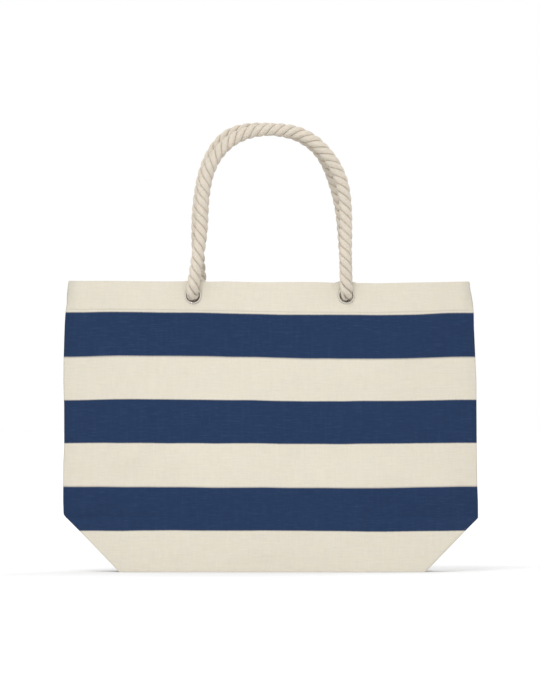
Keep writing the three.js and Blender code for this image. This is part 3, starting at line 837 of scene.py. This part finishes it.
# ------------------------------------------------------------------ hem stitches
def stitch(p, q, n, r=0.27, lift=0.12):
    """one stitch from p to q on a surface with normal n"""
    d = q - p
    L = np.linalg.norm(d)
    d /= L
    b = np.cross(d, n)
    ts = (0.0, 0.12, 0.5, 0.88, 1.0)
    hs = (-0.35, 0.05, lift, 0.05, -0.35)
    rs = (0.6, 0.95, 1.0, 0.95, 0.6)
    V, F, T = [], [], []
    for k, t in enumerate(ts):
        c = p + d * (t * L) + n * hs[k]
        for a in range(6):
            an = a * math.pi / 3
            V.append(c + (n * math.cos(an) * 0.8 + b * math.sin(an)) * r * rs[k])
            T.append((a * 0.3 / 1000, t * L / 1000))
    for k in range(4):
        for a in range(6):
            F.append((k * 6 + a, k * 6 + (a + 1) % 6, (k + 1) * 6 + (a + 1) % 6, (k + 1) * 6 + a))
    F.append((5, 4, 3, 2, 1, 0))
    F.append(tuple(24 + a for a in range(6)))
    return V, F, T


def stitch_row(side, inner):
    pitch, length = 3.3, 2.5
    rng = np.random.default_rng(5 + side + 10 * inner)
    parts = []
    zr = RIM - 38.8
    k = int(528 / pitch)
    for i in range(k):
        w0 = -264 + i * pitch
        if inner and abs(w0) > 258:
            continue
        w = np.array([w0, w0 + length]) + rng.uniform(-0.12, 0.12)
        z = zr + rng.uniform(-0.12, 0.12, 2)
        P = face_point(w, z, side)
        N = face_normal(w, z, side)
        n = N.mean(0)
        n /= np.linalg.norm(n)
        off = 0.03 if not inner else -1.80
        nn = n if not inner else -n
        parts.append(stitch(P[0] + n * off, P[1] + n * off, nn))
    return join_parts(parts)


for side, nm in ((-1, "front"), (1, "back")):
    v, f, t = join_parts([stitch_row(side, 0), stitch_row(side, 1)])
    o = new_mesh(nm + "_hem_stitches", v, f, M_THREAD, t)
    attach(o, "bag")


# ------------------------------------------------------------------ overlocked seam edges
def serge(path, flat, name, node, width=6.0, thick=2.3, pitch=1.9):
    """ribbed band of overlock thread along path; flat is the band's wide direction at each point"""
    path = np.asarray(path, float)
    L = np.r_[0, np.cumsum(np.linalg.norm(np.diff(path, axis=0), axis=1))]
    n = max(8, int(L[-1] / (0.62)))
    s = np.linspace(0, L[-1], n)
    C = np.stack([np.interp(s, L, path[:, k]) for k in range(3)], -1)
    D = np.stack([np.interp(s, L, np.asarray(flat, float)[:, k]) for k in range(3)], -1)
    D /= np.linalg.norm(D, axis=1, keepdims=True)
    T = np.gradient(C, axis=0)
    T /= np.linalg.norm(T, axis=1, keepdims=True)
    E = np.cross(T, D)
    rng = np.random.default_rng(len(name))
    rib = 1 + 0.16 * np.abs(np.sin(math.pi * s / pitch)) ** 0.7 + rng.normal(0, 0.012, n)
    wob = rng.normal(0, 0.07, n)
    m = 14
    V, U, F = [], [], []
    for j in range(n):
        for a in range(m):
            an = 2 * math.pi * a / m
            ca, sa = math.cos(an), math.sin(an)
            ca = math.copysign(abs(ca) ** 0.8, ca)
            V.append(C[j] + D[j] * (ca * width / 2 + wob[j]) + E[j] * (sa * thick / 2 * rib[j]))
            U.append((a * 0.9 / 1000, s[j] / 1000))
    for j in range(n - 1):
        for a in range(m):
            F.append((j * m + a, j * m + (a + 1) % m, (j + 1) * m + (a + 1) % m, (j + 1) * m + a))
    F.append(tuple(range(m - 1, -1, -1)))
    F.append(tuple((n - 1) * m + a for a in range(m)))
    o = new_mesh(name, np.array(V), F, M_SERGE, np.array(U))
    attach(o, "bag")
    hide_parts(node)
    return o


zz = np.linspace(80, 369, 40)
for sgn, nm in ((-1, "left"), (1, "right")):
    w = half_width(zz, sgn)
    p = np.stack([sgn * (w - 11.4), 0 * zz, zz], -1)
    serge(p, np.tile([1.0, 0, 0], (40, 1)), nm + "_overlock", nm + "_side_seam", thick=2.5)
    yy = np.linspace(-54, 54, 20)
    p = np.stack([sgn * np.full(20, 194.2), yy, np.full(20, 6.6)], -1)
    serge(p, np.tile([0.0, 0, 1.0], (20, 1)), nm + "_corner_overlock", nm + "_corner_seam", width=7.5)
xx = np.linspace(-191, 191, 30)
p = np.stack([xx, 0 * xx, np.full(30, 4.1)], -1)
serge(p, np.tile([0.0, 0, 1.0], (30, 1)), "base_overlock", "bottom_seam", width=5.0)


# ------------------------------------------------------------------ eyelets
def lathe(profile, frame_pt, normal, seg=72):
    n = normal / np.linalg.norm(normal)
    up = np.array([0, 0, 1.0])
    a = np.cross(up, n)
    a /= np.linalg.norm(a)
    b = np.cross(n, a)
    V, U, F = [], [], []
    m = len(profile)
    for k in range(seg):
        an = 2 * math.pi * k / seg
        d = a * math.cos(an) + b * math.sin(an)
        for r, h in profile:
            V.append(frame_pt + d * r + n * h)
            U.append((k * 0.001, h * 0.001))
    for k in range(seg):
        k2 = (k + 1) % seg
        for i in range(m):
            i2 = (i + 1) % m
            F.append((k * m + i, k2 * m + i, k2 * m + i2, k * m + i2))
    return np.array(V), F, np.array(U)


def arc(cx, cy, r, a0, a1, n):
    return [(cx + r * math.cos(math.radians(a)), cy + r * math.sin(math.radians(a))) for a in np.linspace(a0, a1, n)]


FRAMES = {}
for key, (ex, s) in EYES.items():
    ew, ev = (np.array(q) for q in eye_cloth(key))
    P0 = face_point(ew, ev, s)
    # normal of the undisturbed surface
    h = 8.0
    a = face_point(ew + h, ev, s) - face_point(ew - h, ev, s)
    b = face_point(ew, ev + 6.0, s) - face_point(ew, ev - 6.0, s)
    n = np.cross(a, b)
    n /= np.linalg.norm(n)
    if n[1] * s < 0:
        n = -n
    FRAMES[key] = (P0, n)
    prof = [(8.55, -3.3), (8.5, -2.0), (8.5, 0.7)]
    prof += arc(9.6, 0.72, 1.1, 180, 30, 10)
    prof += [(10.75, 0.75), (10.82, 0.3), (10.6, 0.02), (9.35, 0.0), (9.3, -2.0), (9.3, -2.95)]
    prof += [(10.2, -3.05), (10.9, -3.0), (11.0, -3.25), (10.4, -3.6), (9.4, -3.75), (8.8, -3.65)]
    v, f, t = lathe(prof, P0, n)
    o = new_mesh("rolled_eyelet_" + key, v, f, M_METAL, t)
    import bmesh
    bm = bmesh.new(); bm.from_mesh(o.data); bmesh.ops.recalc_face_normals(bm, faces=bm.faces); bm.to_mesh(o.data); bm.free()
    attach(o, "bag")
    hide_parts("eyelet_" + key)
    # the washers inside the bag get the darker painted-shade copy of the nickel
    w = bpy.data.objects["washer_" + key]
    for k in range(len(w.material_slots)):
        w.material_slots[k].material = M_METAL_SHADED


# ------------------------------------------------------------------ rope
def resample(P, step):
    P = np.asarray(P, float)
    # Catmull-Rom through the points, then even spacing
    Q = np.vstack([2 * P[0] - P[1], P, 2 * P[-1] - P[-2]])
    out = []
    for i in range(1, len(Q) - 2):
        p0, p1, p2, p3 = Q[i - 1], Q[i], Q[i + 1], Q[i + 2]
        for t in np.linspace(0, 1, 12, endpoint=False):
            out.append(0.5 * ((2 * p1) + (-p0 + p2) * t + (2 * p0 - 5 * p1 + 4 * p2 - p3) * t * t + (-p0 + 3 * p1 - 3 * p2 + p3) * t ** 3))
    out.append(Q[-2])
    out = np.array(out)
    L = np.r_[0, np.cumsum(np.linalg.norm(np.diff(out, axis=0), axis=1))]
    n = max(4, int(round(L[-1] / step)))
    s = np.linspace(0, L[-1], n + 1)
    return np.stack([np.interp(s, L, out[:, k]) for k in range(3)], -1), s


def frames_along(C):
    T = np.gradient(C, axis=0)
    T /= np.linalg.norm(T, axis=1, keepdims=True)
    N = np.zeros_like(C)
    u = np.array([0.0, 1.0, 0.0])
    if abs(T[0] @ u) > 0.9:
        u = np.array([1.0, 0.0, 0.0])
    for i in range(len(C)):
        u = u - T[i] * (u @ T[i])
        u /= np.linalg.norm(u)
        N[i] = u
    return T, N, np.cross(T, N)


def rope_parts(path, scale=1.0, phase=0.0, step=None, sides=22, ends=(True, True), seed=1, lay=LAY):
    step = step or (1.5)
    C, s = resample(path, step)
    T, N, B = frames_along(C)
    rng = np.random.default_rng(seed)
    # slow variation of the lay and of each strand's fullness
    drift = np.interp(s, np.linspace(0, s[-1], max(4, int(s[-1] / 45))), rng.normal(0, 0.10, max(4, int(s[-1] / 45))))
    parts = []
    for k in range(3):
        full = 1 + np.interp(s, np.linspace(0, s[-1], max(4, int(s[-1] / 22))), rng.normal(0, 0.018, max(4, int(s[-1] / 22))))
        phi = phase + k * 2 * math.pi / 3 - 2 * math.pi * s / (lay * scale) + drift
        rh, rs = HELIX_R * scale, STRAND_R * scale
        rad = N * np.cos(phi)[:, None] + B * np.sin(phi)[:, None]
        S = C + rad * rh
        ST = np.gradient(S, axis=0)
        ST /= np.linalg.norm(ST, axis=1, keepdims=True)
        R = rad - ST * np.sum(rad * ST, axis=1, keepdims=True)
        R /= np.linalg.norm(R, axis=1, keepdims=True)
        Q = np.cross(ST, R)
        sl = np.r_[0, np.cumsum(np.linalg.norm(np.diff(S, axis=0), axis=1))]
        th = 2 * math.pi * np.arange(sides + 1) / sides
        # strands press flat against each other inside the rope
        squash = 1 - 0.05 * np.cos(2 * th)
        n = len(C)
        rr = rs * full
        taper = np.ones(n)
        caps = 3
        if ends[0]:
            for j in range(caps):
                taper[j] = (0.35, 0.75, 0.94)[j]
        if ends[1]:
            for j in range(caps):
                taper[n - 1 - j] = (0.35, 0.75, 0.94)[j]
        V = (S[:, None, :] + (R[:, None, :] * np.cos(th)[None, :, None] + Q[:, None, :] * np.sin(th)[None, :, None])
             * (rr * taper)[:, None, None] * squash[None, :, None])
        # small uneven fibres
        V = V + R[:, None, :] * (rng.normal(0, 0.045, (n, sides + 1))[:, :, None]) * scale
        V[:, -1] = V[:, 0]
        U = np.stack([np.tile(th / (2 * math.pi) * 2 * math.pi * STRAND_R, (n, 1)), np.tile(sl[:, None] / scale, (1, sides + 1))], -1) / 1000.0
        F = []
        m = sides + 1
        for j in range(n - 1):
            for a in range(sides):
                F.append((j * m + a, j * m + a + 1, (j + 1) * m + a + 1, (j + 1) * m + a))
        F.append(tuple(a for a in range(sides - 1, -1, -1)))
        F.append(tuple((n - 1) * m + a for a in range(sides)))
        parts.append((V.reshape(-1, 3), F, U.reshape(-1, 2)))
    return parts, C


FRONT_ROUTE = [
  [-102.2, -51.6, 357.0], [-102.0, -51.6, 365.8], [-100.9, -51.6, 377.4], [-98.7, -50.8, 391.5],
  [-96.4, -47.7, 408.3], [-93.2, -43.3, 427.6], [-91.2, -38.8, 447.0], [-90.4, -34.4, 465.2],
  [-89.2, -30.2, 483.3], [-86.6, -25.8, 501.5], [-81.8, -21.6, 519.1], [-73.4, -17.4, 536.0],
  [-61.2, -13.9, 550.8], [-45.3, -11.2, 562.0], [-26.0, -9.4, 569.2], [-4.5, -9.3, 571.9],
  [16.8, -9.3, 571.2], [35.5, -10.1, 566.9], [53.0, -12.3, 557.2], [68.3, -15.8, 542.8],
  [80.8, -20.0, 525.5], [89.0, -24.6, 506.5], [93.2, -29.2, 487.5], [94.9, -34.2, 466.0],
  [95.2, -39.7, 443.0], [94.8, -45.3, 419.0], [94.8, -50.0, 397.0], [95.3, -51.6, 379.0],
  [95.5, -51.6, 366.5], [95.6, -51.6, 357.0]]
REAR_ROUTE = [
  [-94.0, 51.6, 357.0], [-93.7, 51.6, 367.2], [-93.7, 51.6, 378.9], [-94.8, 50.7, 393.3],
  [-96.0, 47.3, 410.2], [-96.8, 42.9, 429.6], [-96.8, 38.3, 449.1], [-95.8, 33.9, 467.2],
  [-94.0, 29.7, 485.3], [-91.0, 25.3, 503.4], [-86.4, 21.2, 520.8], [-79.6, 17.1, 537.4],
  [-69.8, 13.4, 552.8], [-56.8, 10.7, 564.4], [-38.5, 9.3, 571.3], [-17.0, 9.3, 573.2],
  [4.0, 9.3, 571.8], [24.0, 9.8, 568.0], [41.5, 11.6, 560.5], [57.0, 14.4, 548.6],
  [68.8, 18.3, 532.5], [76.8, 22.6, 515.0], [82.8, 26.8, 497.0], [87.3, 31.3, 478.5],
  [90.6, 35.9, 459.0], [92.8, 40.9, 438.0], [94.6, 46.1, 415.5], [95.6, 50.7, 393.5],
  [96.3, 51.6, 374.0], [96.7, 51.6, 357.0]]


def handle(name, route, left, right, s, body, joint_node, seed, phase):
    r = np.array(route, float)
    PL, nL = FRAMES[left]
    PR, nR = FRAMES[right]
    up = np.array([0, 0, 1.0])

    def root(P, n, first, second):
        # out of the bore, then up beside the rim
        c = P + up * 0.9
        return [c - n * 5.0, c - n * 1.0, c + n * 3.4 + up * 0.3, c + n * 7.8 + up * 3.0, np.array([first[0], first[1], 369.5])]

    lo = root(PL, nL, r[1], r[2])
    hi = root(PR, nR, r[-2], r[-3])[::-1]
    path = np.array(lo + [list(p) for p in r[2:-2]] + hi)
    parts, C = rope_parts(path, phase=phase, seed=seed)
    v, f, t = join_parts(parts)
    # the eyelet squeezes the rope where it passes through
    v, Cc = np.array(v, float), np.asarray(C, float)
    near = np.minimum(np.linalg.norm(v - PL, axis=1), np.linalg.norm(v - PR, axis=1)) < 26
    sl = np.r_[0, np.cumsum(np.linalg.norm(np.diff(Cc, axis=0), axis=1))]
    q = v[near]
    i = np.array([int(np.argmin(((Cc - w) ** 2).sum(1))) for w in q])
    end = np.minimum(sl[i], sl[-1] - sl[i])
    k = 1 - 0.09 * (1 - smooth((end - 9.0) / 8.0))
    v[near] = Cc[i] + (q - Cc[i]) * k[:, None]
    o = new_mesh(name, v, f, M_ROPE, t)
    o.data.materials[0] = M_ROPE
    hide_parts(joint_node)
    return o, C


front_rope, front_c = handle("front_twisted_rope", FRONT_ROUTE, "front_left", "front_right", -1, "front_handle", "front_handle_rope", 3, 0.6)
rear_rope, rear_c = handle("rear_twisted_rope", REAR_ROUTE, "back_left", "back_right", 1, "rear_handle", "rear_handle_rope", 8, 2.1)

# ------------------------------------------------------------------ knots
KNOT = np.array([
    [-25.7, 0.2, -0.8], [-21.6, 0.2, -0.6], [-17.3, 0.1, -0.4], [-13.0, 0.1, -0.2], [-8.7, 0.0, -0.1], [-4.4, 0.0, -0.1],
    [-0.1, 0.0, 0.0], [4.1, 0.0, 0.0], [8.4, 0.0, -0.1], [12.7, 0.1, -0.2], [17.0, 0.1, -0.4], [21.2, 0.0, -1.0],
    [25.1, -0.3, -2.2], [28.5, -1.0, -4.3], [31.1, -2.1, -7.3], [32.9, -2.6, -10.9], [34.2, -2.0, -14.5], [35.7, 0.0, -17.7],
    [37.4, 2.9, -20.0], [39.3, 6.3, -21.0], [41.4, 9.8, -20.8], [43.6, 12.9, -19.4], [45.7, 15.3, -16.8], [47.7, 16.6, -13.5],
    [49.3, 16.8, -9.7], [50.2, 16.0, -5.9], [50.4, 14.1, -2.2], [49.7, 11.4, 0.8], [48.3, 8.2, 2.8], [46.4, 4.8, 3.9],
    [44.1, 1.3, 4.3], [41.7, -2.2, 4.2], [39.2, -5.6, 4.0], [36.6, -8.8, 3.5], [33.6, -11.4, 2.4], [30.4, -13.2, 0.6],
    [27.2, -13.8, -1.8], [24.3, -13.3, -4.7], [22.1, -11.6, -7.6], [20.6, -8.9, -10.3], [20.0, -5.5, -12.5], [20.3, -1.6, -13.8],
    [21.7, 2.2, -14.2], [23.9, 5.6, -13.9], [26.9, 8.2, -12.9], [30.4, 9.6, -11.4], [34.1, 9.7, -9.9], [37.7, 8.5, -8.8],
    [41.2, 6.6, -8.8], [44.8, 4.8, -9.8], [48.3, 4.0, -11.8], [51.0, 4.0, -15.2], [52.2, 4.4, -19.6], [52.4, 4.8, -24.2],
    [51.6, 5.0, -29.0], [50.4, 5.2, -33.6], [49.2, 5.4, -38.0]])
KS = 0.80


def knot(key, seed):
    P, n = FRAMES[key]
    up = np.array([0, 0, 1.0])
    inward = -n
    side = np.cross(up, inward)
    side /= np.linalg.norm(side)
    u2 = np.cross(inward, side)
    flip = 1.0 if key.endswith("left") else -1.0
    k = KNOT.copy()
    keep = k[:, 0] >= 4.0
    k = k[keep]
    # first surface of the lump sits on the rolled end of the eyelet
    shift = -(20.0 - 7.4) * KS + 4.6
    start = P + up * 0.9
    pts = [start + inward * (k[i, 0] * KS + shift) + side * (k[i, 1] * KS * flip) + u2 * (k[i, 2] * KS) for i in range(len(k))]
    head = [start + inward * d for d in (-1.0, 1.5)]
    head = [h for h in head if (h - pts[0]) @ inward < -2.0]
    path = np.array(head + [list(p) for p in pts])
    # never past the middle of the bag
    s = EYES[key][1]
    lim = 1.0 + ROPE_R * KS
    path[:, 1] = s * np.maximum(s * path[:, 1], lim)
    parts, C = rope_parts(path, scale=KS, phase=seed, seed=seed + 20, step=1.5, lay=LAY)
    # frayed end
    rng = np.random.default_rng(seed + 40)
    end = C[-1]
    d = C[-1] - C[-4]
    d /= np.linalg.norm(d)
    a = np.cross(d, [0.3, 0.9, 0.1]); a /= np.linalg.norm(a)
    b = np.cross(d, a)
    for _ in range(60):
        r = math.sqrt(rng.uniform(0, 1)) * ROPE_R * KS * 0.92
        an = rng.uniform(0, 2 * math.pi)
        p0 = end + (a * math.cos(an) + b * math.sin(an)) * r - d * 2.0
        dr = d + (a * math.cos(an) + b * math.sin(an)) * (0.10 + 0.35 * r / ROPE_R) + rng.normal(0, 0.10, 3)
        dr /= np.linalg.norm(dr)
        L = rng.uniform(4.5, 8.5)
        bend = rng.normal(0, 0.9, 3)
        V, U, F = [], [], []
        for j, t in enumerate((0, 0.4, 0.75, 1.0)):
            c = p0 + dr * L * t + bend * t * t
            rr = (0.62, 0.5, 0.36, 0.12)[j]
            for q in range(5):
                aq = 2 * math.pi * q / 5
                V.append(c + (a * math.cos(aq) + b * math.sin(aq)) * rr)
                U.append((q * 0.7 / 1000, L * t / 1000))
        for j in range(3):
            for q in range(5):
                F.append((j * 5 + q, j * 5 + (q + 1) % 5, (j + 1) * 5 + (q + 1) % 5, (j + 1) * 5 + q))
        F.append((4, 3, 2, 1, 0)); F.append(tuple(15 + q for q in range(5)))
        parts.append((np.array(V), F, np.array(U)))
    v, f, t = join_parts(parts)
    o = new_mesh("tied_end_" + key, v, f, M_ROPE, t)
    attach(o, "bag")
    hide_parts("knot_" + key)
    return o


knots = {key: knot(key, i + 1) for i, key in enumerate(EYES)}


def length(C):
    return float(np.linalg.norm(np.diff(C, axis=0), axis=1).sum()) * MM


for rope, C, body, ka, kb, s in ((front_rope, front_c, "front_handle", "front_left", "front_right", -1),
                                 (rear_rope, rear_c, "rear_handle", "back_left", "back_right", 1)):
    P, n = FRAMES[ka]
    ex = (P + n * 1.0) * MM
    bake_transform(rope)

# ------------------------------------------------------------------ floor
fm = Tree("floor")
fn = fm.noise(fm.scaled(fm.obj(), (3, 3, 3)), 1.0, 3.0, 0.5)
fm.set(Base_Color=fm.mix(fn, (0.835, 0.835, 0.84), (0.855, 0.855, 0.86)))
fm.set(Roughness=fm.math("MULTIPLY_ADD", fn, 0.1, 0.85))
fm.bsdf.inputs["Specular IOR Level"].default_value = 0.1
s = 30.0
floor = new_mesh("floor", np.array([[-s, -s, 0], [s, -s, 0], [s, s, 0], [-s, s, 0]], float), [(0, 1, 2, 3)], fm.mat, scale=1.0)

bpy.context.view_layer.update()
